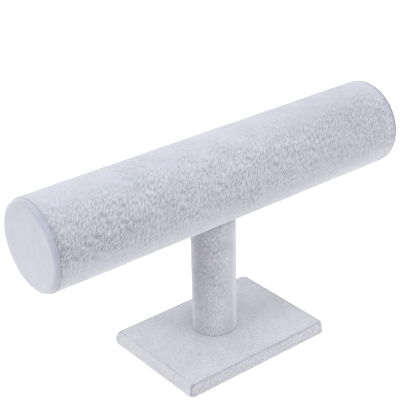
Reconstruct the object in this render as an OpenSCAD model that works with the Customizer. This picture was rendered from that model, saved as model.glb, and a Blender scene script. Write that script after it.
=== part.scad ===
// Bracelet display stand: a cloth-covered round bar on a round post and a flat rectangular base.
// +Z is up, the bar runs along X and the front faces -Y. The origin is on the table,
// under the middle of the bar along X and under the middle of the base along Y.

/* [Bar] */
// Overall length of the bar, over both end covers
bar_len = 240; // [120:1:400]
// Outside diameter of the card tube inside the bar
bar_tube_d = 49.6; // [36:0.1:70]
// Wall of the bar's card tube
bar_tube_wall = 1.8; // [1.2:0.1:4]
// Height of the bar's centre line above the table
bar_height = 104.3; // [80:0.1:220]
// How far the stem of each end plug reaches into the tube
plug_t = 6; // [3:0.5:15]
// Thickness of the plug's flange, which covers the end of the tube
flange_t = 3; // [2:0.1:6]
// Rounding of the rim of the flange
flange_round = 2.2; // [0.5:0.1:2.9]
// How far the edge of each end cover lies behind its face
cover_lap = 2.2; // [1.2:0.1:4]

/* [Post] */
// Outside diameter of the card tube inside the post
post_tube_d = 24; // [16:0.5:40]
// Wall of the post's card tube
post_tube_wall = 3; // [1.5:0.1:5]
// How far the post stands to the left of the bar's middle
post_left = 2.6; // [-15:0.1:15]
// How far the post stands behind the middle of the base
post_back = 3.9; // [-15:0.1:15]

/* [Base] */
// Length of the board, along the bar
board_len = 98.6; // [70:0.1:200]
// Width of the board, across the bar
board_wid = 68.4; // [56:0.1:150]
// Thickness of the board
board_t = 6.4; // [4:0.1:18]
// Rounding of the upright corners of the board
board_corner = 2; // [0.5:0.1:6]
// How far the middle of the base lies to the left of the bar's middle
base_left = 1.7; // [-15:0.1:15]
// Width of the hem that is turned under the board
hem_w = 12; // [6:0.5:20]
// How far the folded flaps of the long sides stand proud at the corners
fold_proud = 0.8; // [0.3:0.1:1.5]
// How far the ends of the folded flaps lie in from the short sides
fold_in = 1.2; // [0.3:0.1:2.5]
// Softening of the folded ends of the flaps
fold_soft = 0.5; // [0.2:0.1:0.8]
// How far the open pockets under the flaps reach in from their ends
pocket_in = 7; // [2:0.5:12]
// Rounding of the cloth over the top edges of the board
top_round = 1.6; // [0.6:0.1:2.5]
// Rounding of the cloth round the bottom edges of the board
bottom_round = 1.2; // [0.4:0.1:2]
// Thickness of the card that backs the underside
backing_t = 0.4; // [0.3:0.1:2]
// How far the edge of the backing lies in from the edge of the base
backing_in = 3; // [2:0.5:5]

/* [Cloth] */
// Thickness of the velvet, pile included
cloth_t = 0.8; // [0.5:0.1:1.5]
// Gap left where two cut edges of the cloth meet
seam_gap = 0.4; // [0.2:0.1:1.5]
// Softening of a cut edge of the cloth
edge_soft = 0.35; // [0.1:0.05:0.45]

/* [Fixing] */
// Diameter of the long bolt
bolt_d = 5; // [4:0.5:8]
// Diameter of the bolt's countersunk head
head_d = 9.6; // [9:0.1:16]
// Size of the nut across its flats
nut_flats = 8; // [7:0.5:13]
// Thickness of the nut
nut_t = 4; // [3:0.1:7]
// How far the bolt's end stands out of the nut
bolt_proud = 1; // [0.5:0.5:4]
// Length of the wooden block inside the bar
block_len = 30; // [20:1:80]
// Height of the wooden block above the inside of the tube
block_h = 9; // [7:0.5:16]

/* [Hidden] */
// Glue line between a cloth and what it covers
glue = 0.05;
// Running clearance of the bolt in its holes, on the diameter
bolt_play = 0.5;
// Clearance of the nut in its pocket and on its bolt
nut_play = 0.1;
// Chamfer at the tip of the bolt
bolt_tip = 0.4;
// Overshoot of a cut past the surface that it opens
over = 1;
$fn = 96;

bar_tube_r = bar_tube_d / 2;
bore_r = bar_tube_r - bar_tube_wall;
bar_r = bar_tube_r + glue + cloth_t;
wrap_t = cloth_t + glue;
plug_end = bar_len / 2 - wrap_t;
tube_half = plug_end - flange_t - glue;
sleeve_half = bar_len / 2 - cover_lap - seam_gap / 2;
flange_r = min(flange_round, flange_t);
post_tube_r = post_tube_d / 2;
post_r = post_tube_r + glue + cloth_t;
board_z = backing_t + cloth_t + glue;
base_top = board_z + board_t + glue + cloth_t;
base_half_x = board_len / 2 + wrap_t;
base_half_y = board_wid / 2 + wrap_t;
bore_z = bar_height - bore_r;
nut_top = bore_z + block_h;
bolt_hole_d = bolt_d + bolt_play;
head_h = (head_d - bolt_d) / 2;
bolt_end = nut_top + bolt_proud - board_z;
corner_r = max(board_corner + wrap_t, top_round, bottom_round);
flap_x = base_half_x - fold_in;
flap_y = base_half_y + fold_proud;

velvet = [0.80, 0.80, 0.84];
card = [0.70, 0.60, 0.47];
timber = [0.80, 0.66, 0.46];
fibreboard = [0.66, 0.52, 0.36];
steel = [0.72, 0.73, 0.75];

// Places its children on the bar's centre line, with their own Z along the bar
module on_bar() {
    translate([0, post_back, bar_height]) rotate([0, 90, 0]) children();
}

// Places its children over the foot of the post
module on_post(z = 0) {
    translate([-post_left, post_back, z]) children();
}

// Places its children over the middle of the base
module on_base(z = 0) {
    translate([-base_left, 0, z]) children();
}

// Points of an arc of a circle about (cx, cy), from angle a0 over a sweep, a quarter if not given
function arc(cx, cy, r, a0, sweep = 90, steps = 5) =
    [for (i = [0:steps]) [cx + r * cos(a0 + sweep * i / steps), cy + r * sin(a0 + sweep * i / steps)]];

// Side of a round end, from the height lip up over a rim of radius rim to the flat end at top
function rim_side(r, rim, top, lip) =
    let (low = top - rim, from = lip > low ? asin((lip - low) / rim) : 0)
        concat(lip > low ? [] : [[r, lip]], arc(r - rim, low, rim, from, 90 - from));

// Clearance hole for the bolt, from z0 to z1
module bolt_hole(z0, z1) {
    on_post(z0) cylinder(h = z1 - z0, d = bolt_hole_d);
}

// The room that the finished bar takes up, used to cope the top of the post
module bar_room(gap) {
    on_bar() cylinder(h = bar_len, r = bar_r + gap, center = true);
}

// Rectangle with round corners, centred
module round_rect(len, wid, r) {
    square([len, wid - 2 * r], center = true);
    square([len - 2 * r, wid], center = true);
    for (x = [-1, 1], y = [-1, 1])
        translate([x * (len / 2 - r), y * (wid / 2 - r)]) circle(r = r);
}

// Card tube of the bar, drilled on its underside for the bolt
module bar_tube() {
    color(card) difference() {
        on_bar() difference() {
            cylinder(h = 2 * tube_half, r = bar_tube_r, center = true);
            cylinder(h = 2 * tube_half + 2 * over, r = bore_r, center = true);
        }
        bolt_hole(bore_z - bar_tube_wall - over, bar_height);
    }
}

// Card plug with a round-edged flange over one end of the tube; side is -1 left, 1 right
module end_plug(side) {
    stem = [[0, tube_half - plug_t], [bore_r - glue, tube_half - plug_t],
        [bore_r - glue, tube_half + glue], [bar_tube_r, tube_half + glue]];
    color(card) on_bar() mirror([0, 0, side < 0 ? 1 : 0]) rotate_extrude()
        polygon(concat(stem, rim_side(bar_tube_r, flange_r, plug_end, tube_half + 2 * glue),
            [[0, plug_end]]));
}

// Velvet round the tube: a sleeve with softened ends, open along its seam underneath
module bar_cover() {
    in_r = bar_tube_r + glue;
    wall = concat([[in_r, -sleeve_half]],
        arc(bar_r - edge_soft, -sleeve_half + edge_soft, edge_soft, -90),
        arc(bar_r - edge_soft, sleeve_half - edge_soft, edge_soft, 0),
        [[in_r, sleeve_half]]);
    color(velvet) difference() {
        on_bar() rotate_extrude() polygon(wall);
        translate([-bar_len / 2, post_back - seam_gap / 2, bar_height - bar_r - over])
            cube([bar_len, seam_gap, bar_r - bore_r + over]);
        bolt_hole(bar_height - bar_r - over, bar_height);
    }
}

// Velvet over one end of the bar, drawn over the flange's rim; side is -1 left, 1 right
module end_cover(side) {
    face = bar_len / 2;
    lip = face - cover_lap;
    outside = rim_side(bar_r, flange_r + wrap_t, face, lip);
    inside = rim_side(bar_tube_r + glue, flange_r + glue, face - cloth_t, lip);
    color(velvet) on_bar() mirror([0, 0, side < 0 ? 1 : 0]) rotate_extrude()
        polygon(concat([[0, face]], [for (i = [len(outside) - 1:-1:0]) outside[i]],
            inside, [[0, face - cloth_t]]));
}

// Wooden saddle block, rounded below to lie in the tube, with a pocket for the nut
module bar_block() {
    color(timber) difference() {
        intersection() {
            on_bar() cylinder(h = block_len, r = bore_r - glue, center = true);
            on_post(bore_z - over)
                translate([-block_len / 2, -bore_r, 0]) cube([block_len, 2 * bore_r, block_h + over]);
        }
        bolt_hole(bore_z - over, nut_top + over);
        on_post(nut_top - nut_t)
            cylinder(h = nut_t + over, r = (nut_flats + nut_play) / sqrt(3), $fn = 6);
    }
}

// Hexagon nut, sunk into the block
module captive_nut() {
    color(steel) on_post(nut_top - nut_t) difference() {
        cylinder(h = nut_t, r = nut_flats / sqrt(3), $fn = 6);
        translate([0, 0, -over]) cylinder(h = nut_t + 2 * over, d = bolt_d + nut_play);
    }
}

// Long countersunk bolt from the underside of the board up through the nut
module tie_bolt() {
    outline = [[0, 0], [head_d / 2, 0], [bolt_d / 2, head_h], [bolt_d / 2, bolt_end - bolt_tip],
        [bolt_d / 2 - bolt_tip, bolt_end], [0, bolt_end]];
    color(steel) on_post(board_z) rotate_extrude() polygon(outline);
}

// Upright tube on the base, its top coped to the round of the bar
module coped_tube(outer_r, inner_r) {
    difference() {
        on_post(base_top) cylinder(h = bar_height - base_top, r = outer_r);
        on_post(base_top - over) cylinder(h = bar_height, r = inner_r);
        bar_room(glue);
    }
}

// Card tube of the post
module post_tube() {
    color(card) coped_tube(post_tube_r, post_tube_r - post_tube_wall);
}

// Velvet round the post, open along its seam at the back
module post_cover() {
    color(velvet) difference() {
        coped_tube(post_r, post_tube_r + glue);
        on_post(base_top - over)
            translate([-seam_gap / 2, 0, 0]) cube([seam_gap, post_r + over, bar_height]);
    }
}

// Board of the base, drilled and countersunk from below
module base_board() {
    color(fibreboard) difference() {
        on_base(board_z) linear_extrude(board_t) round_rect(board_len, board_wid, board_corner);
        bolt_hole(board_z - over, board_z + board_t + over);
        on_post(board_z) rotate_extrude()
            polygon([[0, -over], [head_d / 2 + over + bolt_play / 2, -over],
                [bolt_hole_d / 2, head_h], [0, head_h]]);
    }
}

// Upright post of a rounded corner, with its top and bottom edges rounded
module corner_post() {
    side = concat([[0, backing_t]],
        arc(corner_r - bottom_round, backing_t + bottom_round, bottom_round, -90),
        arc(corner_r - top_round, base_top - top_round, top_round, 0), [[0, base_top]]);
    rotate_extrude($fn = 32) polygon(side);
}

// The cloth as it goes over the board: a slab with all its edges rounded
module wrapped_slab() {
    hull() for (x = [-1, 1], y = [-1, 1])
        translate([x * (base_half_x - corner_r), y * (base_half_y - corner_r), 0])
            corner_post();
}

// Folded flap of one long side, standing proud over the cloth of the short sides
module flap(y) {
    hull() for (x = [-1, 1], in = [0, corner_r]) {
        translate([x * (flap_x - top_round), y * (flap_y - top_round - in), base_top - top_round])
            sphere(r = top_round, $fn = 24);
        for (z = [backing_t + fold_soft, base_top - top_round - fold_soft])
            translate([x * (flap_x - fold_soft), y * (flap_y - fold_soft - in), z])
                sphere(r = fold_soft, $fn = 16);
    }
}

// Open pockets between the flaps' ends and the cloth beneath them
module pockets() {
    for (x = [-1, 1], y = [-1, 1])
        translate([x * (flap_x - (pocket_in - over) / 2), y * base_half_y, backing_t - over])
            linear_extrude(base_top - top_round - backing_t + over)
                square([pocket_in + over, seam_gap], center = true);
}

// Velvet over the board. Each long side's flap is folded in at its ends and laid over the
// short sides' cloth, which comes round the corner beneath it; the hem turns under, mitred.
module base_cover() {
    color(velvet) difference() {
        on_base() union() {
            difference() {
                for (y = [-1, 1]) flap(y);
                pockets();
            }
            wrapped_slab();
        }
        on_base(board_z - glue)
            linear_extrude(board_t + 2 * glue)
                round_rect(board_len + 2 * glue, board_wid + 2 * glue, board_corner + glue);
        on_base(backing_t - over)
            linear_extrude(cloth_t + 2 * over)
                square([board_len - 2 * hem_w, board_wid - 2 * hem_w], center = true);
        on_base(backing_t - over) mitre_slits();
        bolt_hole(base_top - cloth_t - over, base_top + over);
    }
}

// Slits from the corners of the board to the corners of the hem's window
module mitre_slits() {
    for (x = [-1, 1], y = [-1, 1])
        translate([x * board_len / 2, y * board_wid / 2, 0])
            rotate([0, 0, atan2(-y, -x)])
                translate([0, -seam_gap / 2, 0]) cube([hem_w * sqrt(2) + over, seam_gap, cloth_t + over]);
}

// Card glued over the hem on the underside
module base_backing() {
    color(card) on_base() linear_extrude(backing_t)
        round_rect(2 * (base_half_x - backing_in), 2 * (base_half_y - backing_in), corner_r);
}

bar_tube();
end_plug(-1);  // end_plug_left
end_plug(1);  // end_plug_right
bar_cover();
end_cover(-1);  // end_cover_left
end_cover(1);  // end_cover_right
bar_block();
captive_nut();
tie_bolt();
post_tube();
post_cover();
base_board();
base_cover();
base_backing();
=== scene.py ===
"""Looks of a bracelet display stand: pale lavender-grey crushed velvet glued over a card tube
bar, a card tube post and a flat board base. Lengths are in millimetres until a mesh is made."""
import math

import bmesh
import bpy
import numpy as np
from mathutils import Matrix, Vector


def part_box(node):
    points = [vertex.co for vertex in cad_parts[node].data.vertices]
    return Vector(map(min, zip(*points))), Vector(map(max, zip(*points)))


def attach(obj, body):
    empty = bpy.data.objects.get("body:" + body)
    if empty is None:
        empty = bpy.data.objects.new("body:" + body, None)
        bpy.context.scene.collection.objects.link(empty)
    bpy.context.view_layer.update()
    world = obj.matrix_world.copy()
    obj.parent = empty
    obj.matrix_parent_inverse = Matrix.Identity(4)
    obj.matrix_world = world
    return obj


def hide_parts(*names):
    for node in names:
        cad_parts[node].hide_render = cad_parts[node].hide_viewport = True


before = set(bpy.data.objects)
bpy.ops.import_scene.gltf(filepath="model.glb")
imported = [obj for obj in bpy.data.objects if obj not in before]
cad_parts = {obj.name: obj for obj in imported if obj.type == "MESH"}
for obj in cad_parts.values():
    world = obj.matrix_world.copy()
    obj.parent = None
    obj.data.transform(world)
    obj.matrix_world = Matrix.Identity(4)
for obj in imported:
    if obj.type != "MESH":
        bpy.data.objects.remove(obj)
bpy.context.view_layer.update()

MM = 0.001

# Velvet: its thickness, the glue under it, the gap along a seam, and the round of its cut edges
# at the ends and along the seam
CLOTH = 0.8
GLUE = 0.05
SEAM_GAP = 0.4
BAR_EDGE = 0.2
BAR_SEAM_EDGE = 0.5
POST_EDGE = 0.3
POST_SEAM_EDGE = 0.4

# Lids over the bar's ends: radius of the rim, radius of the cut edge, gap to the bar's velvet
RIM = 3.05
LIP = 0.2
LAP_GAP = 0.12

# Spacing of mesh points, and how many steps cross a lid's face and a rounded edge
BAR_STEP_ALONG = 0.52
BAR_STEP_AROUND = 0.86
POST_STEP_UP = 0.45
POST_STEP_AROUND = 0.44
BASE_STEP = 0.6
LID_STEPS = 64
EDGE_STEPS = 4

# How far the pile rises and sinks
BAR_PILE = 0.07
LID_FACE_PILE = 0.03
LID_RIM_PILE = 0.05
POST_PILE = 0.11
BASE_TOP_PILE = 0.05
BASE_SIDE_PILE = 0.09

# How far the cloth swells and sinks in slow waves
BAR_SWELL = 0.10
LID_SWELL = 0.12
POST_SWELL = 0.08
BASE_SWELL = 0.10

# Width of the tufts of short pile
LID_FACE_GRAIN = 1.6
LID_RIM_GRAIN = 1.3
POST_GRAIN = 1.05
BASE_TOP_GRAIN = 1.25
BASE_SIDE_GRAIN = 1.15

# Strands that the mesh raises on the bar: turn in degrees, width and length, and how far they
# bend over what length
STRAND_TURN = 34.0
RELIEF_WIDE = 1.35
RELIEF_LONG = 3.6
RELIEF_BEND = 2.2
RELIEF_BEND_SPAN = 7

# Strands that the finish draws: their width and length, how far they bend, and their detail
STRAND_WIDE = 0.76
STRAND_LONG = 2.7
STRAND_BEND = 1.8
STRAND_DETAIL = 1.0

# The post's pile is drawn finer than the bar's by this much
POST_FINER = 1.2

# Colours of the velvet, linear, and how far its hue drifts
PALE = (0.66, 0.667, 0.706)
DEEP = (0.28, 0.287, 0.328)
HUE_DRIFT = 0.09

# Tone between deep and pale: of plain cloth, what raised pile adds (painted shade in the pile's
# hollows), and what full painted shade takes
PLAIN_TONE = 0.62
RELIEF_TONE = 0.2
PAINTED_SHADE_TONE = 0.55

# Gloss of the velvet, and how deep its bump and that of the bare materials is, in metres
SHEEN = 1.0
SHEEN_ROUGH = 0.6
VELVET_SPECULAR = 0.15
VELVET_BUMP = 0.0004
BARE_BUMP = 0.0001

# Photographer's view of the stand
VIEW_TARGET = (-11.56, 3.9, 94.0)
VIEW_AZIMUTH = -38.42
VIEW_ELEVATION = 27.11
VIEW_ROLL = -1.31
VIEW_DISTANCE = 625.0
VIEW_LENS = 101.94
SENSOR = 36.0


# Sizes read from the frame

def box_mm(node):
    """Lowest and highest corner of a CAD node, in millimetres."""
    low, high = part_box(node)
    return np.array(low) / MM, np.array(high) / MM


sleeve_low, sleeve_high = box_mm("bar_cover")
lid_low, lid_high = box_mm("end_cover_right")
post_low, post_high = box_mm("post_cover")
wrap_low, wrap_high = box_mm("base_cover")

bar_y, bar_z = (sleeve_low[1:] + sleeve_high[1:]) / 2
bar_r = (sleeve_high[2] - sleeve_low[2]) / 2
face_x = lid_high[0]
lap_x = lid_low[0]
post_x, post_y = (post_low[:2] + post_high[:2]) / 2
post_r = (post_high[0] - post_low[0]) / 2
base_x = (wrap_low[0] + wrap_high[0]) / 2
base_half_x = (wrap_high[0] - wrap_low[0]) / 2
base_half_y = (wrap_high[1] - wrap_low[1]) / 2
hem_z = wrap_low[2]
base_z = wrap_high[2]


# Relief of the pile

def ripple(x, y, seed):
    """Smooth noise of about -1 to 1, with features about one unit across. It repeats after the
    length of its table, and the seed chooses the pattern."""
    table = 256
    turn = np.random.default_rng(seed).uniform(0, 2 * np.pi, (table, table))
    xi, yi = np.floor(x).astype(int), np.floor(y).astype(int)
    fx, fy = x - xi, y - yi

    def pull(i, j):
        angle = turn[(xi + i) % table, (yi + j) % table]
        return np.cos(angle) * (fx - i) + np.sin(angle) * (fy - j)

    def fade(t):
        return t * t * t * (t * (6 * t - 15) + 10)

    near = pull(0, 0) * (1 - fade(fx)) + pull(1, 0) * fade(fx)
    far = pull(0, 1) * (1 - fade(fx)) + pull(1, 1) * fade(fx)
    return 1.5 * (near * (1 - fade(fy)) + far * fade(fy))


def smooth(low, high, x):
    """0 below low, 1 above high and a smooth step between them."""
    t = np.clip((x - low) / (high - low), 0, 1)
    return t * t * (3 - 2 * t)


def hump(x, middle, spread):
    """1 in the middle, fading on both sides to 0.37 at the spread and nearly 0 at twice that."""
    return np.exp(-((x - middle) / spread) ** 2)


def tangled(u, v, seed):
    """Height of about -1 to 1 of pile that lies in short turned strands, thin valleys between."""
    turn = math.radians(STRAND_TURN)
    slow_u, slow_v = u / RELIEF_BEND_SPAN, v / RELIEF_BEND_SPAN
    p = u * math.cos(turn) + v * math.sin(turn) + RELIEF_BEND * ripple(slow_u, slow_v, seed)
    q = v * math.cos(turn) - u * math.sin(turn) + RELIEF_BEND * ripple(slow_u, slow_v, seed + 1)
    ridge = smooth(0, 0.42, np.abs(ripple(p / RELIEF_WIDE, q / RELIEF_LONG, seed + 4)))
    tuft = ripple(p / (0.6 * RELIEF_WIDE), q / (0.6 * RELIEF_LONG), seed + 5)
    return np.clip(1.6 * ridge - 0.95 + 0.5 * tuft, -1, 1)


def pressed(up):
    """How rough the pile is, from 0 to 1: smooth over the top of the bar, less so underneath."""
    return (1 - 0.85 * np.clip(up, 0, 1) ** 4) * (1 - 0.62 * smooth(0.0, 0.45, -up))


def speckled(u, v, seed, grain):
    """Height of about -1 to 1 of short pile that stands in tufts about a grain wide."""
    fine = 0.55 * grain
    tuft = ripple(u / grain, v / grain, seed) + 0.6 * ripple(u / fine, v / fine, seed + 1)
    return np.clip(0.9 * tuft, -1, 1)


# Meshes

def solid(name, points, faces, cloth, pile, painted_shade, rough=1.0):
    """A closed mesh from points in mm; faces index them. It keeps each point's place on the cloth,
    the height of its pile, its painted shade (painted light where below 0) and how rough the pile is."""
    mesh = bpy.data.meshes.new(name)
    mesh.from_pydata((np.asarray(points, float) * MM).tolist(), [], [list(f) for f in faces])
    made = mesh.attributes.new("cloth", "FLOAT_VECTOR", "POINT")
    made.data.foreach_set("vector", np.asarray(cloth, np.float32).ravel())
    for label, values in (("pile", pile), ("painted_shade", painted_shade), ("rough", rough)):
        made = mesh.attributes.new(label, "FLOAT", "POINT")
        spread = np.broadcast_to(np.asarray(values, np.float32).ravel(), (len(mesh.vertices),))
        made.data.foreach_set("value", np.ascontiguousarray(spread))
    bm = bmesh.new()
    bm.from_mesh(mesh)
    bmesh.ops.remove_doubles(bm, verts=bm.verts, dist=1e-7)
    bmesh.ops.recalc_face_normals(bm, faces=bm.faces)
    bm.to_mesh(mesh)
    bm.free()
    mesh.shade_smooth()
    mesh.set_sharp_from_angle(angle=math.radians(60))
    mesh.validate()
    made = bpy.data.objects.new(name, mesh)
    bpy.context.scene.collection.objects.link(made)
    return made


def swept(columns, loop):
    """Faces between closed loops of points, from column to column, and a cap at both ends."""
    k, j = np.meshgrid(np.arange(columns - 1), np.arange(loop), indexing="ij")
    a = (k * loop + j).ravel()
    b = (k * loop + (j + 1) % loop).ravel()
    faces = np.stack([a, b, b + loop, a + loop], 1).tolist()
    faces.append(list(range(loop))[::-1])
    faces.append([(columns - 1) * loop + i for i in range(loop)])
    return faces


def grid_cells(index):
    """Quads of a grid of point numbers."""
    cells = np.stack([index[:-1, :-1], index[1:, :-1], index[1:, 1:], index[:-1, 1:]], -1)
    return cells.reshape(-1, 4).tolist()


def ring_faces(first, second):
    """Quads between two closed rings of point numbers."""
    return np.stack([first, np.roll(first, -1), np.roll(second, -1), second], 1).tolist()


def spaced(length, step, soft):
    """Places along a length: even steps, and finer ones within soft of both ends."""
    edge = soft * (1 - np.cos(np.linspace(0, np.pi / 2, EDGE_STEPS + 1)))[:-1]
    middle = np.linspace(soft, length - soft, max(2, round((length - 2 * soft) / step)))
    return np.concatenate([edge, middle, (length - edge)[::-1]])


def sunk(distance, soft):
    """Depth of a rounded edge at a distance in from it."""
    t = np.clip(1 - distance / soft, 0, 1)
    return soft * (1 - np.sqrt(1 - t * t))


def shell_profile(length, step, soft):
    """Closed outline of a cloth wall: places along it, depth below its outside, 1 where outside."""
    along = spaced(length, step, soft)
    depth = sunk(np.minimum(along, length - along), soft)
    return (np.concatenate([along, [length, 0]]), np.concatenate([depth, [CLOTH, CLOTH]]),
            np.concatenate([np.ones(len(along)), [0, 0]]))


# Bar cover

def bar_seams(u, v, up, tip):
    """Shade beside the lids: wide and soft at the left, where it fades over the top, and thin and
    dark at the right. The tip is the distance from the nearer end."""
    at_left = u < 0
    reach = np.where(at_left, 4.0, 1.5) + np.where(at_left, 1.6, 0.6) * ripple(v / 1.5, u / 2.2, 31)
    faded = 0.45 * (1 - 0.8 * smooth(0.7, 0.97, up))
    dark = np.where(at_left, faded, 1.1) + 0.3 * ripple(v / 5, 0 * v, 33)
    dark = dark * (1 + 0.7 * ripple(v / 1.1, u / 1.1, 35) * at_left)
    return (1 - smooth(0.0, 1.0, tip / np.maximum(reach, 0.3))) * dark


def bar_painted_shading(u, phi, tip):
    """Painted shade, below 0 painted light: a dark patch in front at the left, dark drifts towards the
    top at the right with a pale front below them, and a pale strip beside the right seam."""
    painted_shading = 0.32 * hump(u, -90, 28) * hump(phi, 4.58, 0.26)
    painted_shading += 0.16 * hump(u, 84, 20) * hump(phi, 4.0, 0.34)
    painted_shading += 0.28 * smooth(0, 90, u) * np.cos(phi - 3.2)
    painted_shading += 0.12 * smooth(20, 60, u) * hump(phi, 3.75, 0.4)
    painted_shading -= 0.22 * smooth(20, 80, u) * smooth(4.95, 5.4, phi)
    return painted_shading - 0.25 * (u > 0) * hump(tip, 5, 2.6)


def bar_sleeve():
    """Velvet round the bar: a sleeve open along its seam underneath, its pile crushed in strands.
    The angle phi starts at the seam and is half a turn at the top."""
    half = lap_x - LAP_GAP
    along, depth, outside = shell_profile(2 * half, BAR_STEP_ALONG, BAR_EDGE)
    girth = 2 * np.pi * bar_r - SEAM_GAP
    around = spaced(girth, BAR_STEP_AROUND, 0.8)
    angle = (around + SEAM_GAP / 2) / bar_r
    edge = np.minimum(around, girth - around)
    u, v = np.meshgrid(along - half, around)
    phi = np.broadcast_to(angle[:, None], u.shape)
    up = -np.cos(phi)
    tip = np.minimum(u + half, half - u)
    height = tangled(u, v, 11)
    patch = ripple(u / 9, v / 11, 27)
    rough = pressed(up + 0.12 * ripple(u / 23, v / 23, 25) + 0.06 * patch) * (1 + 0.35 * patch)
    swell = BAR_SWELL * ripple(u / 17, v / 17, 21)
    # the relief runs out at the ends, at the seam and where the post's velvet meets the bar
    taper = smooth(0, 1.2, tip) * smooth(0, 0.9, edge)[:, None]
    clear_of_post = 1 - (np.abs(u - post_x) < post_r + 0.6) * (up < -0.8) * 1.0
    lift = (BAR_PILE * height * rough + swell) * taper * clear_of_post
    lift = lift - 0.35 * sunk(tip, 1.1) * (u > 0)
    r = bar_r - depth + lift * outside - sunk(edge, BAR_SEAM_EDGE)[:, None] * outside
    points = np.stack([u, bar_y + r * np.sin(phi), bar_z - r * np.cos(phi)], -1).reshape(-1, 3)
    cloth = np.stack([u, v, 0 * u], -1).reshape(-1, 3)
    # painted shade beside the lids, and painted shade and painted light over the sleeve
    painted_shade = np.clip(bar_seams(u, v, up, tip) + bar_painted_shading(u, phi, tip), -0.5, 1) * outside
    faces = swept(len(around), len(along))
    return solid("bar_sleeve", points, faces, cloth, height * rough * taper * outside, painted_shade, rough)


# End covers

def disc_grid(n, radius):
    """Square grid of n steps a side drawn out to a disc, and its border points in order."""
    t = np.linspace(-1, 1, n + 1)
    a, b = np.meshgrid(t, t, indexing="ij")
    reach = np.maximum(np.abs(a), np.abs(b))
    small = np.minimum(np.abs(a), np.abs(b))
    turn = np.where(reach > 0, small / np.maximum(reach, 1e-9), 0) * np.pi / 4
    major, minor = reach * np.cos(turn), reach * np.sin(turn)
    wide = np.abs(a) >= np.abs(b)
    p = np.sign(a) * np.where(wide, major, minor) * radius
    q = np.sign(b) * np.where(wide, minor, major) * radius
    index = np.arange((n + 1) ** 2).reshape(n + 1, n + 1)
    border = np.concatenate([index[0, :-1], index[:-1, -1], index[-1, :0:-1], index[:0:-1, 0]])
    return p.ravel(), q.ravel(), grid_cells(index), border


def lid_rings():
    """Rings from a lid's face over its rim, round its cut edge and back inside: their radius, their
    place along the bar and 1 where outside."""
    reach = math.acos((lap_x + LIP - face_x + RIM) / RIM)
    rings = [(bar_r - RIM + RIM * math.sin(t), face_x - RIM + RIM * math.cos(t), 1.0)
             for t in np.linspace(0, reach, 9)[1:]]
    edge_r = rings[-1][0]
    rings += [(edge_r - LIP * (1 - math.cos(t)), lap_x + LIP * (1 - math.sin(t)), 1.0)
              for t in np.linspace(0, np.pi / 2, 4)[1:]]
    within = RIM - CLOTH
    turn = np.linspace(math.acos((lap_x - face_x + RIM) / within), 0, 6)
    rings += [(bar_r - RIM + within * math.sin(t), face_x - RIM + within * math.cos(t), 0.0)
              for t in turn]
    return rings


def lid_painted_shading(back, above):
    """Painted shade on the face, darker towards its top and its back."""
    top = 0.14 * smooth(-16, 4, above) * smooth(-26, -8, back)
    return top + 0.16 * smooth(0, 22, back) * smooth(-24, 8, above)


def end_lid(name, side, seed, lean):
    """Velvet over one end of the bar, drawn over its round rim and cut off behind it. The face is
    a little full, and more so at the top by lean."""
    p, q, faces, border = disc_grid(LID_STEPS, bar_r - RIM)
    angle = np.arctan2(q[border], p[border])
    height = speckled(p, q, seed, LID_FACE_GRAIN)
    full = 0.3 + lean * (1 + q / bar_r) / 2
    dome = full * (1 - 0.35 * (np.hypot(p, q) / bar_r) ** 2)
    dome = dome + LID_SWELL * ripple(p / 14, q / 14, seed + 3)
    parts = [np.stack([face_x + dome + LID_FACE_PILE * height, p, q], 1)]
    # painted shade on the face
    painted_shade, pile = [lid_painted_shading(p, q)], [height]
    previous, count = border, len(p)
    # painted shade: the rim is darker in front, less so low down, and its cut edge is painted faintly
    # dark at the left and dark at the right
    front, low = smooth(-0.1, 0.7, -np.cos(angle)), smooth(0.1, 0.9, -np.sin(angle))
    for ring_r, ring_x, outside in lid_rings():
        on_rim = ring_x - lap_x
        share = smooth(0, 1, on_rim / (face_x - lap_x)) * outside
        grain = speckled(angle * bar_r, np.full_like(angle, ring_x), seed + 7, LID_RIM_GRAIN)
        rr = ring_r + LID_RIM_PILE * grain * share
        y, z = rr * np.cos(angle), rr * np.sin(angle)
        parts.append(np.stack([ring_x + dome[border] * share, y, z], 1))
        turned = 1 - smooth(0.0, face_x - lap_x + 0.3, on_rim)
        shade = 0.45 * turned * front * (1 - 0.6 * low)
        edge = 0.2 * (1 - smooth(0.2, 0.9, on_rim)) if side < 0 else 1 - smooth(1.4, 2.6, on_rim)
        painted_shade.append(outside * np.maximum(np.maximum(shade, edge), share * lid_painted_shading(y, z)))
        pile.append(grain * share)
        ring = np.arange(count, count + len(angle))
        faces += ring_faces(previous, ring)
        previous, count = ring, count + len(angle)
    faces.append(previous.tolist())
    points = np.concatenate(parts)
    cloth = points[:, [1, 2, 0]].copy()
    points = np.stack([side * points[:, 0], bar_y + points[:, 1], bar_z + points[:, 2]], 1)
    return solid(name, points, faces, cloth, np.concatenate(pile), np.concatenate(painted_shade))


# Post cover

def post_painted_shading(drift, z, low):
    """Painted shade in upright stripes round the post, darkest at the left where the bar's left arm
    shades it, and below 0 painted light. The drift is the turn round the post in degrees, 180 in front
    and 270 at the left, and low is 1 at the foot."""
    painted_shading = (0.55 - 0.42 * low) * hump(drift, 262, 17) + 0.2 * hump(drift, 172, 14)
    painted_shading += 0.27 * smooth(14, 24, z) * (1 - smooth(40, 56, z)) * hump(drift, 279, 9)
    painted_shading += 0.2 * smooth(58, 74, z) * hump(drift, 226, 26)
    painted_shading -= 0.24 * hump(drift, 294, 10) * (1 - low)
    return painted_shading - 0.44 * low * hump(drift, 226, 32)


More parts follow.
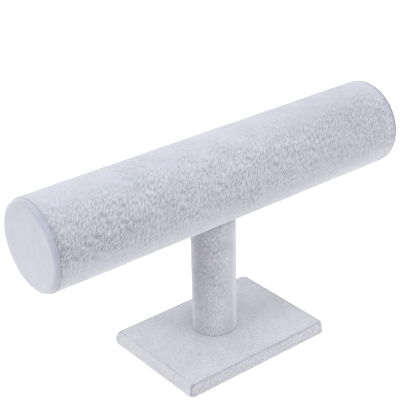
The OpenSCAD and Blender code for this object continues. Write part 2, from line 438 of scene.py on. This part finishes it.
def post_sleeve():
    """Velvet round the post, coped to the bar above and open along its seam at the back."""
    girth = 2 * np.pi * post_r - SEAM_GAP
    around = spaced(girth, POST_STEP_AROUND, 0.6)
    angle = (around + SEAM_GAP / 2) / post_r
    edge = np.minimum(around, girth - around)
    span = post_high[2] - post_low[2]
    along, depth, outside = shell_profile(span, POST_STEP_UP, POST_EDGE)
    t, phi = np.meshgrid(along / span, angle)
    v = np.broadcast_to(around[:, None], t.shape)
    height = speckled(v, t * span, 41, POST_GRAIN)
    lift = POST_PILE * height + POST_SWELL * ripple(v / 9, t * span / 9, 43)
    ends = smooth(0, 1.2, np.minimum(t, 1 - t) * span) * smooth(0, 0.7, edge)[:, None]
    r = post_r - depth + (lift * ends - sunk(edge, POST_SEAM_EDGE)[:, None]) * outside
    y = r * np.cos(phi)
    room = bar_r + GLUE
    top = bar_z - np.sqrt(room ** 2 - (post_y + y - bar_y) ** 2)
    z = post_low[2] + t * (top - post_low[2])
    points = np.stack([post_x + r * np.sin(phi), post_y + y, z], -1).reshape(-1, 3)
    # turned so that the strands stand upright on the post
    turn = math.radians(STRAND_TURN)
    across, upright = v * math.cos(turn) - z * math.sin(turn), v * math.sin(turn) + z * math.cos(turn)
    cloth = POST_FINER * np.stack([across, upright, 0 * v], -1).reshape(-1, 3)
    # painted shade at the post's foot and where it meets the bar
    reach = np.minimum(z - post_low[2], (top - z) * 0.5)
    painted_shade = (1 - smooth(0.1, 1.3, reach)) * outside
    drift = np.degrees(phi) + 5 * ripple(z / 14, 0 * z, 47)
    low = 1 - smooth(12, 44, z)
    painted_shade = np.clip(painted_shade + post_painted_shading(drift, z, low) * outside, -0.4, 1)
    # the pile is rough in front and to the left, more so towards the top, and smooth elsewhere
    rough = 0.15 + 0.85 * smooth(172, 205, drift) * (1 - smooth(254, 276, drift))
    rough = rough * (0.88 + 0.3 * smooth(34, 60, z))
    faces = swept(len(around), len(along))
    return solid("post_sleeve", points, faces, cloth, height * rough * ends * outside, painted_shade, rough)


# Base cover: radius of its corners, rounds of its top and bottom edges, and width of its hem
CORNER_R = 2.85
TOP_ROUND = 1.8
BOTTOM_ROUND = 1.6
HEM = 12.0

# Corner flaps: how far they stand out, where they end, their round, crease and fullness
FLAP_PROUD = 0.8
FLAP_IN = 1.2
FLAP_ROUND = 2.2
FOLD_DEPTH = 0.7
CORNER_FULL = 1.5

# Pucker beside the post: its turn in degrees, the height of its ridge and depth of its valley
PUCKER_TURN = 178
PUCKER_RIDGE = 0.30
PUCKER_VALLEY = 0.16

# How rough the pile shows on top, on the long sides and on the short sides
TOP_ROUGH = 0.52
LONG_ROUGH = 0.88
SHORT_ROUGH = 0.35


def flap_outline(turn, z, slack):
    """Distance from the corner's centre to the cloth at a turn from the long side's normal,
    and how deep the fold's crease is there. The flap's end is rounded off towards its top,
    and its outer edge more so where the flap is slack."""
    over_top = np.clip(z - (base_z - FLAP_ROUND), 0, FLAP_ROUND)
    end = CORNER_R - FLAP_IN - (FLAP_ROUND - np.sqrt(FLAP_ROUND ** 2 - over_top ** 2))
    end = np.maximum(end, 0.02)
    front = CORNER_R + FLAP_PROUD
    by_front = front / np.maximum(np.cos(turn), 1e-6)
    by_end = end / np.maximum(np.sin(turn), 1e-6)
    sharp = 9.0 - 6.5 * slack
    flap = (by_front ** -sharp + by_end ** -sharp) ** (-1 / sharp)
    foot = np.arcsin(np.clip(end / CORNER_R, 0, 1))
    past = (turn - foot) * CORNER_R
    groove = hump(past, 0.12, 0.32) * (1 - 0.6 * smooth(0.75, 1.0, over_top / FLAP_ROUND))
    groove = groove * (1 - 0.6 * slack)
    lower = np.maximum(flap, CORNER_R - FOLD_DEPTH * groove)
    height = np.clip((z - hem_z) / (base_z - hem_z), 0, 1)
    lower = lower + CORNER_FULL * slack * np.sin(np.pi * height) * hump(turn, 0.8, 0.6)
    lower = np.where(turn < 1e-6, front, lower)
    return lower, groove


def border_columns():
    """Columns round the base: centre, outward normal, turn from the long side's normal, run."""
    cx, cy = base_half_x - CORNER_R, base_half_y - FLAP_PROUD - CORNER_R
    dense = np.radians(np.concatenate([np.arange(1.5, 42, 1.5), np.arange(45, 90, 5)]))
    columns = []
    run = 0.0
    for sx, sy in ((1, -1), (1, 1), (-1, 1), (-1, -1)):
        # the side that leads to this corner, then the corner itself
        long_side = sx * sy < 0
        n = round(2 * (cx if long_side else cy) / BASE_STEP)
        for t in np.linspace(-1, 1, n + 1):
            if long_side:
                columns.append((t * cx * sx, sy * cy, 0.0, float(sy), 0.0, run + (t + 1) * cx))
            else:
                columns.append((sx * cx, t * cy * sy, float(sx), 0.0, np.pi / 2, run + (t + 1) * cy))
        run += 2 * (cx if long_side else cy)
        turns = dense if long_side else dense[::-1]
        for turn in turns:
            done = turn if long_side else np.pi / 2 - turn
            columns.append((sx * cx, sy * cy, sx * math.sin(turn), sy * math.cos(turn), turn,
                            run + done * CORNER_R))
        run += np.pi / 2 * CORNER_R
    return np.array(columns), cx, cy


def base_relief(x, y):
    """Height of the cloth on top of the board: faint pile, slow waves and the pucker by the post."""
    away = np.hypot(x - post_x, y - post_y)
    pile = speckled(x, y, 51, BASE_TOP_GRAIN)
    wave = BASE_SWELL * ripple(x / 16, y / 16, 53) + 0.05 * ripple(x / 6, y / 6, 54)
    side = np.arctan2(y - post_y, x - post_x)
    beside = hump(np.angle(np.exp(1j * (side - np.radians(PUCKER_TURN)))), 0, 0.36)
    ridge = PUCKER_RIDGE * beside * hump(away - post_r, 5.4, 0.7)
    valley = PUCKER_VALLEY * beside * hump(away - post_r, 4.0, 0.8)
    near = smooth(post_r + 0.1, post_r + 1.6, away)
    return (BASE_TOP_PILE * pile + wave + ridge - valley) * near, pile * near


def base_top(x, y, inset, short):
    """Height, pile and painted shade of points on top, at an inset from the edge. Short is 1 along the
    short sides."""
    lift, pile = base_relief(base_x + x, y)
    # a broken line of painted shade just inside the top's edge
    patchiness = 0.6 + 0.6 * ripple((x + y) / 2.4, (x - y) / 2.4, 59)
    furrow = (0.03 + 0.05 * short) * hump(inset, 2.5, 0.7)
    edge_shade_line = 0.8 * patchiness * hump(inset, 1.4 + 0.9 * short, 0.5)
    # painted shadow to the left of the post, painted light at the back left and at the front right
    away = np.hypot(base_x + x - post_x + 5, y - post_y - 2) - post_r
    painted_shading = 0.12 * (1 - smooth(1, 10, away)) * (x < post_x - base_x + 6)
    painted_shading -= 0.13 * smooth(12, 42, -x) * smooth(-18, 2, y) + 0.17 * smooth(-4, 30, x) * smooth(2, 16, -y)
    taper = smooth(0, 2.5, inset)
    return base_z + lift * taper - furrow, pile, np.clip(edge_shade_line + painted_shading, -0.3, 1)


def base_stages():
    """Steps of the cloth from the top over the sides to the hem and back inside: the kind of each,
    its inset from the edge and its height."""
    quarter = np.pi / 2
    side_top, side_low = base_z - TOP_ROUND, hem_z + BOTTOM_ROUND
    hem_inset = HEM + CLOTH + GLUE
    stages = [("top", d, base_z) for d in np.linspace(CORNER_R, TOP_ROUND, 4)[1:]]
    stages += [("side", TOP_ROUND * (1 - math.sin(t)), base_z - TOP_ROUND * (1 - math.cos(t)))
               for t in np.linspace(0, quarter, 8)[1:]]
    stages += [("side", 0.0, z) for z in np.linspace(side_top, side_low, 13)[1:]]
    stages += [("side", BOTTOM_ROUND * (1 - math.cos(t)), hem_z + BOTTOM_ROUND * (1 - math.sin(t)))
               for t in np.linspace(0, quarter, 6)[1:]]
    stages += [("hem", d, hem_z) for d in np.linspace(CORNER_R, hem_inset, 12)]
    return stages + [("in", hem_inset, hem_z + CLOTH), ("in", CLOTH + GLUE, hem_z + CLOTH),
                     ("in", CLOTH + GLUE, base_z - CLOTH)]


def base_wrap():
    """Velvet over the board: folded flaps at the corners and a hem turned under, closed inside."""
    columns, cx, cy = border_columns()
    x0, y0, nx, ny, turn, run = columns.T
    gx = np.linspace(-cx, cx, round(2 * cx / BASE_STEP) + 1)
    gy = np.linspace(-cy, cy, round(2 * cy / BASE_STEP) + 1)
    grid_x, grid_y = np.meshgrid(gx, gy, indexing="ij")
    index = np.arange(grid_x.size).reshape(grid_x.shape)
    gxf, gyf = grid_x.ravel(), grid_y.ravel()
    from_short, from_long = base_half_x - np.abs(gxf), base_half_y - np.abs(gyf)
    gz, gpile, grid_painted_shade = base_top(gxf, gyf, np.minimum(from_short, from_long),
                                  (from_short < from_long) * 1.0)
    parts = [np.stack([gxf, gyf, gz], 1)]
    cloth = [np.stack([gxf, gyf, 0 * gxf], 1)]
    pile, painted_shade, rough = [gpile], [grid_painted_shade], [np.full_like(gxf, TOP_ROUGH)]
    count = gxf.size
    faces = grid_cells(index)
    # the grid's own border points, in the order of the columns
    ix = np.rint((x0 + cx) / (2 * cx) * (len(gx) - 1)).astype(int)
    iy = np.rint((y0 + cy) / (2 * cy) * (len(gy) - 1)).astype(int)
    previous = index[ix, iy]
    short = (turn > 1.0) * 1.0
    slack = (nx < 0) * (ny > 0) * 1.0

    down = 0.0
    last_d, last_z = CORNER_R, base_z
    for kind, inset, z in base_stages():
        down += math.hypot(inset - last_d, z - last_z)
        last_d, last_z = inset, z
        if kind in ("hem", "in") and inset > CORNER_R - 0.01:
            # under the board and back inside, with a mitre at each corner that is open on the hem and
            # painted dark there as shade
            px = x0 * (base_half_x - inset) / cx
            py = y0 * (base_half_y - FLAP_PROUD - inset) / cy
            corner = (np.abs(np.abs(x0) - cx) < 1e-6) & (np.abs(np.abs(y0) - cy) < 1e-6)
            pz = z + corner * (0.5 if kind == "hem" else 0.0)
            new_pile, new_painted_shade = 0 * px, corner * 1.0 * (kind == "hem")
        elif kind == "in":
            reach = CORNER_R - inset
            px, py, pz = x0 + nx * reach, y0 + ny * reach, np.full_like(x0, z)
            new_pile, new_painted_shade = 0 * px, 0 * px
        else:
            outer, groove = flap_outline(turn, np.full_like(turn, z), slack)
            outer = np.where(turn > np.pi / 2 - 1e-6, CORNER_R, outer)
            if kind == "top":
                reach = (outer - TOP_ROUND) * (CORNER_R - inset) / (CORNER_R - TOP_ROUND)
                px, py = x0 + nx * reach, y0 + ny * reach
                pz, new_pile, new_painted_shade = base_top(px, py, outer - reach, short)
            else:
                grain = speckled(run, np.full_like(run, down), 57, BASE_SIDE_GRAIN)
                reach = outer - inset + BASE_SIDE_PILE * grain
                px, py, pz = x0 + nx * reach, y0 + ny * reach, np.full_like(x0, z)
                # painted shade in the flaps' folds and below the long sides' top edge, and painted
                # light on the short sides
                brow_shade = 0.4 * (1 - short) * hump(z, base_z - 0.3, 0.5)
                short_side_light = (0.2 + 0.16 * smooth(-18, 2, py)) * short
                new_pile, new_painted_shade = grain, np.clip(1.8 * groove + brow_shade - short_side_light, -0.4, 1)
        on_top = kind == "top"
        spread = 0.0 if on_top else down
        side_rough = LONG_ROUGH - (LONG_ROUGH - SHORT_ROUGH) * short
        parts.append(np.stack([px, py, pz], 1))
        cloth.append(np.stack([px + nx * spread, py + ny * spread, 0 * px], 1))
        rough.append(np.full_like(px, TOP_ROUGH) if on_top else side_rough)
        pile.append(new_pile)
        painted_shade.append(new_painted_shade)
        ring = np.arange(count, count + len(x0))
        faces += ring_faces(previous, ring)
        previous, count = ring, count + len(x0)
    faces.append(previous.tolist())
    points = np.concatenate(parts)
    points[:, 0] += base_x
    return solid("base_wrap", points, faces, np.concatenate(cloth), np.concatenate(pile),
                 np.concatenate(painted_shade), np.concatenate(rough))


# Shader nodes

def put(tree, kind, **settings):
    """A new node with its settings."""
    made = tree.nodes.new(kind)
    for name, value in settings.items():
        setattr(made, name, value)
    return made


def feed(tree, socket, value):
    """Joins a socket to another or sets its value."""
    if isinstance(value, bpy.types.NodeSocket):
        tree.links.new(value, socket)
    else:
        socket.default_value = value


def sums(tree, operation, a, b=0.0, c=0.0, clamp=False):
    """Result of a math node."""
    made = put(tree, "ShaderNodeMath", operation=operation, use_clamp=clamp)
    for socket, value in zip(made.inputs, (a, b, c)):
        feed(tree, socket, value)
    return made.outputs[0]


def scaled(tree, vector, factors):
    """Vector times three factors."""
    made = put(tree, "ShaderNodeVectorMath", operation="MULTIPLY")
    feed(tree, made.inputs[0], vector)
    made.inputs[1].default_value = factors
    return made.outputs[0]


def shifted(tree, vector, factors, start):
    """Vector times three factors, added to a start."""
    made = put(tree, "ShaderNodeVectorMath", operation="MULTIPLY_ADD")
    feed(tree, made.inputs[0], vector)
    made.inputs[1].default_value = factors
    feed(tree, made.inputs[2], start)
    return made.outputs[0]


def noise(tree, vector, scale, detail, rough=0.5, colour=False):
    """Noise over a vector, as a value or a colour."""
    made = put(tree, "ShaderNodeTexNoise")
    feed(tree, made.inputs["Vector"], vector)
    made.inputs["Scale"].default_value = scale
    made.inputs["Detail"].default_value = detail
    made.inputs["Roughness"].default_value = rough
    return made.outputs["Color" if colour else "Fac"]


def ranged(tree, value, low, high, to_low, to_high):
    """Value mapped smoothly from one range to another."""
    made = put(tree, "ShaderNodeMapRange", interpolation_type="SMOOTHSTEP")
    feed(tree, made.inputs["Value"], value)
    made.inputs["From Min"].default_value = low
    made.inputs["From Max"].default_value = high
    made.inputs["To Min"].default_value = to_low
    made.inputs["To Max"].default_value = to_high
    return made.outputs["Result"]


def blended(tree, factor, a, b, way="MIX"):
    """Colour between a and b, or b laid over a in some other way."""
    made = put(tree, "ShaderNodeMix", data_type="RGBA", blend_type=way)
    feed(tree, made.inputs[0], factor)
    feed(tree, made.inputs[6], a)
    feed(tree, made.inputs[7], b)
    return made.outputs[2]


def group(name, inputs, outputs):
    """A new shader node group with named sockets, its input node and its output node."""
    tree = bpy.data.node_groups.new(name, "ShaderNodeTree")
    for label, kind, value in inputs:
        socket = tree.interface.new_socket(label, in_out="INPUT", socket_type=kind)
        if value is not None:
            socket.default_value = value
    for label, kind in outputs:
        tree.interface.new_socket(label, in_out="OUTPUT", socket_type=kind)
    return tree, put(tree, "NodeGroupInput"), put(tree, "NodeGroupOutput")


NUMBER, VECTOR, COLOUR = "NodeSocketFloat", "NodeSocketVector", "NodeSocketColor"


def crushed_pile_group():
    """Crushed velvet: short strands with thin dark valleys, fine speckle, mottling, and painted shade
    from the mesh that darkens the tone, painted light where it is below 0.
    """
    tree, given, out = group(
        "crushed_pile",
        [("Cloth", VECTOR, None), ("Relief", NUMBER, 0.0), ("Painted Shade", NUMBER, 0.0),
         ("Rough", NUMBER, 1.0), ("Pale", COLOUR, (*PALE, 1.0)), ("Deep", COLOUR, (*DEEP, 1.0)),
         ("Strands", NUMBER, 0.5), ("Speckle", NUMBER, 0.3), ("Mottle", NUMBER, 0.2)],
        [("Color", COLOUR), ("Roughness", NUMBER), ("Height", NUMBER)])
    cloth = given.outputs["Cloth"]
    bend = noise(tree, cloth, 0.2, 1.0, colour=True)
    lie = put(tree, "ShaderNodeMapping", vector_type="TEXTURE")
    feed(tree, lie.inputs["Vector"], shifted(tree, bend, (STRAND_BEND, STRAND_BEND, 0.0), cloth))
    lie.inputs["Rotation"].default_value = (0.0, 0.0, math.radians(STRAND_TURN))
    lie.inputs["Scale"].default_value = (STRAND_WIDE, STRAND_LONG, 1.0)
    wave = noise(tree, lie.outputs["Vector"], 1.0, STRAND_DETAIL)
    strand = ranged(tree, wave, 0.33, 0.64, -0.9, 0.75)
    speck = ranged(tree, noise(tree, cloth, 1.3, 2.0, 0.65), 0.32, 0.68, -0.5, 0.5)
    mottle = ranged(tree, noise(tree, cloth, 0.09, 3.0, 0.55), 0.3, 0.7, -0.5, 0.5)
    strand = sums(tree, "MULTIPLY", strand, given.outputs["Rough"])
    speck = sums(tree, "MULTIPLY", speck, given.outputs["Rough"])
    # painted shade: the tone is lighter where the mesh's pile is raised and darker in its hollows
    both = sums(tree, "MULTIPLY_ADD", given.outputs["Relief"], RELIEF_TONE, strand)
    tone = sums(tree, "MULTIPLY_ADD", both, given.outputs["Strands"], PLAIN_TONE)
    tone = sums(tree, "MULTIPLY_ADD", speck, given.outputs["Speckle"], tone)
    tone = sums(tree, "MULTIPLY_ADD", mottle, given.outputs["Mottle"], tone)
    # painted shade from the mesh darkens the tone; painted light, below 0, lightens it
    tone = sums(tree, "MULTIPLY_ADD", given.outputs["Painted Shade"], -PAINTED_SHADE_TONE, tone, clamp=True)
    colour = blended(tree, tone, given.outputs["Deep"], given.outputs["Pale"])
    drift = noise(tree, cloth, 0.06, 2.0, colour=True)
    tint = shifted(tree, drift, (HUE_DRIFT,) * 3, (1 - HUE_DRIFT / 2,) * 3)
    feed(tree, out.inputs["Color"], blended(tree, 1.0, colour, tint, "MULTIPLY"))
    feed(tree, out.inputs["Roughness"], sums(tree, "MULTIPLY_ADD", tone, -0.15, 0.95))
    height = sums(tree, "MULTIPLY", strand, given.outputs["Strands"])
    height = sums(tree, "MULTIPLY_ADD", speck, given.outputs["Speckle"], height)
    feed(tree, out.inputs["Height"], height)
    return tree


def flecks_group():
    """Fibres and flecks of card, board, wood and metal, drawn out along a chosen direction."""
    tree, given, out = group(
        "flecks",
        [("Place", VECTOR, None), ("Light", COLOUR, None), ("Dark", COLOUR, None),
         ("Fleck", NUMBER, 0.5), ("Cloud", NUMBER, 0.3), ("Roughness", NUMBER, 0.8)],
        [("Color", COLOUR), ("Roughness", NUMBER), ("Height", NUMBER)])
    place = given.outputs["Place"]
    fleck = ranged(tree, noise(tree, place, 1.0, 3.0, 0.65), 0.35, 0.65, -0.5, 0.5)
    cloud = ranged(tree, noise(tree, place, 0.12, 3.0), 0.3, 0.7, -0.5, 0.5)
    tone = sums(tree, "MULTIPLY_ADD", fleck, given.outputs["Fleck"], 0.5)
    tone = sums(tree, "MULTIPLY_ADD", cloud, given.outputs["Cloud"], tone, clamp=True)
    feed(tree, out.inputs["Color"], blended(tree, tone, given.outputs["Dark"], given.outputs["Light"]))
    feed(tree, out.inputs["Roughness"],
         sums(tree, "MULTIPLY_ADD", fleck, 0.15, given.outputs["Roughness"], clamp=True))
    feed(tree, out.inputs["Height"], fleck)
    return tree


crushed_pile = crushed_pile_group()
flecks = flecks_group()


def material(name):
    """A new node material, its tree and its Principled shader."""
    made = bpy.data.materials.new(name)
    made.use_nodes = True
    return made, made.node_tree, made.node_tree.nodes["Principled BSDF"]


def coated(tree, shader, node_group, settings, bump, depth):
    """Feeds a shader the colour, roughness and bump of a group that is given these settings. The
    depth of the bump is in metres."""
    look = put(tree, "ShaderNodeGroup", node_tree=node_group)
    for label, value in settings.items():
        feed(tree, look.inputs[label], value)
    feed(tree, shader.inputs["Base Color"], look.outputs["Color"])
    feed(tree, shader.inputs["Roughness"], look.outputs["Roughness"])
    made = put(tree, "ShaderNodeBump")
    made.inputs["Strength"].default_value = bump
    made.inputs["Distance"].default_value = depth
    feed(tree, made.inputs["Height"], look.outputs["Height"])
    feed(tree, shader.inputs["Normal"], made.outputs["Normal"])


def kept(tree, label, output):
    """What the mesh keeps at each point under a label."""
    return put(tree, "ShaderNodeAttribute", attribute_name=label).outputs[output]


def velvet(name, shade, strands, speckle, mottle, bump):
    """Velvet of a shade, three shares of the plain cloth's colour, with strands, speckle and mottling.
    The pieces' shades differ partly as the cloth's own tone and partly as painted shade and light."""
    made, tree, shader = material(name)
    pale, deep = ((*(s * c for s, c in zip(shade, colour)), 1.0) for colour in (PALE, DEEP))
    # the mesh's painted shade and painted light go into the cloth's colour
    coated(tree, shader, crushed_pile, {
        "Cloth": kept(tree, "cloth", "Vector"), "Relief": kept(tree, "pile", "Fac"),
        "Painted Shade": kept(tree, "painted_shade", "Fac"), "Rough": kept(tree, "rough", "Fac"),
        "Pale": pale, "Deep": deep, "Strands": strands, "Speckle": speckle, "Mottle": mottle},
        bump, VELVET_BUMP)
    shader.inputs["Specular IOR Level"].default_value = VELVET_SPECULAR
    shader.inputs["Sheen Weight"].default_value = SHEEN
    shader.inputs["Sheen Roughness"].default_value = SHEEN_ROUGH
    shader.inputs["Sheen Tint"].default_value = (1.0, 1.0, 1.0, 1.0)
    return made


def fibrous(name, light, dark, flecks_per_mm, fleck, cloud, rough, bump, metal=0.0):
    """Card, board, wood or metal, with so many flecks a mm along each axis."""
    made, tree, shader = material(name)
    place = put(tree, "ShaderNodeTexCoord").outputs["Object"]
    coated(tree, shader, flecks, {
        "Place": scaled(tree, place, [n / MM for n in flecks_per_mm]),
        "Light": light, "Dark": dark, "Fleck": fleck, "Cloud": cloud, "Roughness": rough},
        bump, BARE_BUMP)
    shader.inputs["Metallic"].default_value = metal
    return made


# Velvet pieces

def dress(piece, finish, node_name):
    """Gives a cloth piece its material and ties it to the frame."""
    piece.data.materials.append(finish)
    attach(piece, "root")
    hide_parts(node_name)
    return piece


# one velvet in four copies: their shades are partly the cloth's own and partly painted shade, darkest
# on the ends and palest on the base
bar_velvet = velvet("bar_velvet", shade=(0.777, 0.778, 0.798),
                    strands=0.475, speckle=0.4, mottle=0.14, bump=0.9)
end_velvet = velvet("end_velvet", shade=(0.72, 0.72, 0.775),
                    strands=0.06, speckle=0.1, mottle=0.1, bump=0.3)
post_velvet = velvet("post_velvet", shade=(0.932, 0.926, 0.932),
                     strands=0.37, speckle=0.5, mottle=0.2, bump=0.6)
base_velvet = velvet("base_velvet", shade=(1.005, 0.993, 0.965),
                     strands=0.25, speckle=0.9, mottle=0.14, bump=0.6)

bar = dress(bar_sleeve(), bar_velvet, "bar_cover")
left = dress(end_lid("end_lid_left", side=-1, seed=61, lean=0.8), end_velvet,
             "end_cover_left")
right = dress(end_lid("end_lid_right", side=1, seed=71, lean=-0.3), end_velvet,
              "end_cover_right")
post = dress(post_sleeve(), post_velvet, "post_cover")
base = dress(base_wrap(), base_velvet, "base_cover")


# Bare pieces inside and underneath

card = fibrous("wound_card", light=(0.50, 0.37, 0.23, 1), dark=(0.33, 0.23, 0.13, 1),
               flecks_per_mm=(0.5, 1.6, 1.6), fleck=0.5, cloud=0.4, rough=0.85, bump=0.3)
backing = fibrous("backing_card", light=(0.60, 0.61, 0.65, 1), dark=(0.47, 0.48, 0.52, 1),
                  flecks_per_mm=(1.2, 1.2, 1.2), fleck=0.4, cloud=0.4, rough=0.8, bump=0.3)
pine = fibrous("pine", light=(0.66, 0.46, 0.26, 1), dark=(0.44, 0.27, 0.13, 1),
               flecks_per_mm=(0.12, 1.8, 1.8), fleck=0.6, cloud=0.4, rough=0.7, bump=0.3)
board = fibrous("fibreboard", light=(0.46, 0.31, 0.18, 1), dark=(0.31, 0.20, 0.11, 1),
                flecks_per_mm=(1.5, 1.5, 1.5), fleck=0.6, cloud=0.3, rough=0.85, bump=0.4)
zinc = fibrous("zinc", light=(0.68, 0.69, 0.71, 1), dark=(0.50, 0.51, 0.53, 1),
               flecks_per_mm=(1.0, 1.0, 6.0), fleck=0.4, cloud=0.4, rough=0.35, bump=0.2, metal=1.0)
for finish, names in ((card, ("bar_tube", "end_plug_left", "end_plug_right", "post_tube")),
                      (backing, ("base_backing",)), (pine, ("bar_block",)),
                      (board, ("base_board",)), (zinc, ("captive_nut", "tie_bolt"))):
    for name in names:
        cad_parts[name].data.materials.clear()
        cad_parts[name].data.materials.append(finish)


# Floor, light and camera. Where the camera looks straight at the floor, it is a grey that glows
# nearly white, and the light that it throws back has the warmer colour.
FLOOR_HALF = 3.0
FLOOR_GLOW = 0.82
FLOOR_SEEN = (0.3, 0.3, 0.3, 1)
FLOOR_TINT = (0.80, 0.785, 0.745, 1.0)
WHITE = (1, 1, 1, 1)

# Light of the surroundings: what is added straight above, what comes from every side, how fast
# the first falls off, and its colour
CEILING = 2.64
HORIZON = 0.06
CEILING_FALL = 3.0
LIGHT_TINT = (0.965, 0.975, 1.03)

# Soft lamps: name, place and size in metres, power in watts. All point at the lamps' aim.
LAMP_AIM = (0, 0, 0.08)
LAMPS = (("left", (-1.3, 0.1, 0.75), 0.7, 6.2),
         ("front_left", (-0.9, -1.1, 0.6), 0.8, 5.0),
         ("front_right", (0.8, -1.1, 0.5), 0.8, 5.4))


def seen_directly(tree):
    """1 for camera, glossy and transmission rays."""
    path = put(tree, "ShaderNodeLightPath")
    both = sums(tree, "MAXIMUM", path.outputs["Is Camera Ray"], path.outputs["Is Glossy Ray"])
    return sums(tree, "MAXIMUM", both, path.outputs["Is Transmission Ray"])


def white_floor():
    """A pale floor that shows as white and keeps the soft shadow of the stand."""
    mesh = bpy.data.meshes.new("floor")
    h = FLOOR_HALF
    mesh.from_pydata([(-h, -h, 0), (h, -h, 0), (h, h, 0), (-h, h, 0)], [], [(0, 1, 2, 3)])
    floor = bpy.data.objects.new("floor", mesh)
    bpy.context.scene.collection.objects.link(floor)
    made, tree, shader = material("floor_white")
    seen = seen_directly(tree)
    shader.inputs["Roughness"].default_value = 1.0
    shader.inputs["Specular IOR Level"].default_value = 0.0
    feed(tree, shader.inputs["Base Color"], blended(tree, seen, FLOOR_TINT, FLOOR_SEEN))
    shader.inputs["Emission Color"].default_value = WHITE
    feed(tree, shader.inputs["Emission Strength"], sums(tree, "MULTIPLY", seen, FLOOR_GLOW))
    mesh.materials.append(made)


def white_world():
    """Surroundings that are seen as white. As light, a bright ceiling that fades to the horizon."""
    world = bpy.data.worlds.new("studio")
    world.use_nodes = True
    bpy.context.scene.world = world
    tree = world.node_tree
    background = tree.nodes["Background"]
    seen = seen_directly(tree)
    way = put(tree, "ShaderNodeSeparateXYZ")
    feed(tree, way.inputs[0], put(tree, "ShaderNodeTexCoord").outputs["Generated"])
    rise = sums(tree, "POWER", sums(tree, "MAXIMUM", way.outputs["Z"], 0.0), CEILING_FALL)
    light = sums(tree, "MULTIPLY_ADD", rise, CEILING, HORIZON)
    feed(tree, background.inputs["Color"], blended(tree, seen, (*LIGHT_TINT, 1), WHITE))
    feed(tree, background.inputs["Strength"],
         sums(tree, "MULTIPLY_ADD", seen, sums(tree, "SUBTRACT", 1.0, light), light))


def soft_lamp(name, place, size, power):
    """A large square lamp at a place."""
    light = bpy.data.lights.new(name, "AREA")
    light.shape = "SQUARE"
    light.color = LIGHT_TINT
    light.size = size
    light.energy = power
    lamp = bpy.data.objects.new(name, light)
    bpy.context.scene.collection.objects.link(lamp)
    lamp.location = place
    lamp.rotation_euler = (Vector(LAMP_AIM) - Vector(place)).to_track_quat("-Z", "Y").to_euler()


def photo_camera():
    """Camera at the photograph's place, from its angles and its distance to the target."""
    a, e, roll = (math.radians(x) for x in (VIEW_AZIMUTH, VIEW_ELEVATION, VIEW_ROLL))
    back = Vector((math.sin(a) * math.cos(e), -math.cos(a) * math.cos(e), math.sin(e)))
    right_way = Vector((math.cos(a), math.sin(a), 0))
    up = back.cross(right_way)
    turned = right_way * math.cos(roll) + up * math.sin(roll)
    up = up * math.cos(roll) - right_way * math.sin(roll)
    data = bpy.data.cameras.new("camera")
    data.lens, data.sensor_width = VIEW_LENS, SENSOR
    data.clip_start, data.clip_end = 0.05, 20.0
    camera = bpy.data.objects.new("camera", data)
    bpy.context.scene.collection.objects.link(camera)
    place = (Vector(VIEW_TARGET) + back * VIEW_DISTANCE) * MM
    camera.matrix_world = Matrix.Translation(place) @ Matrix((turned, up, back)).transposed().to_4x4()
    bpy.context.scene.camera = camera


white_floor()
white_world()
for lamp_name, lamp_place, lamp_size, lamp_power in LAMPS:
    soft_lamp(lamp_name, lamp_place, lamp_size, lamp_power)
photo_camera()
bpy.context.scene.view_settings.view_transform = "Standard"
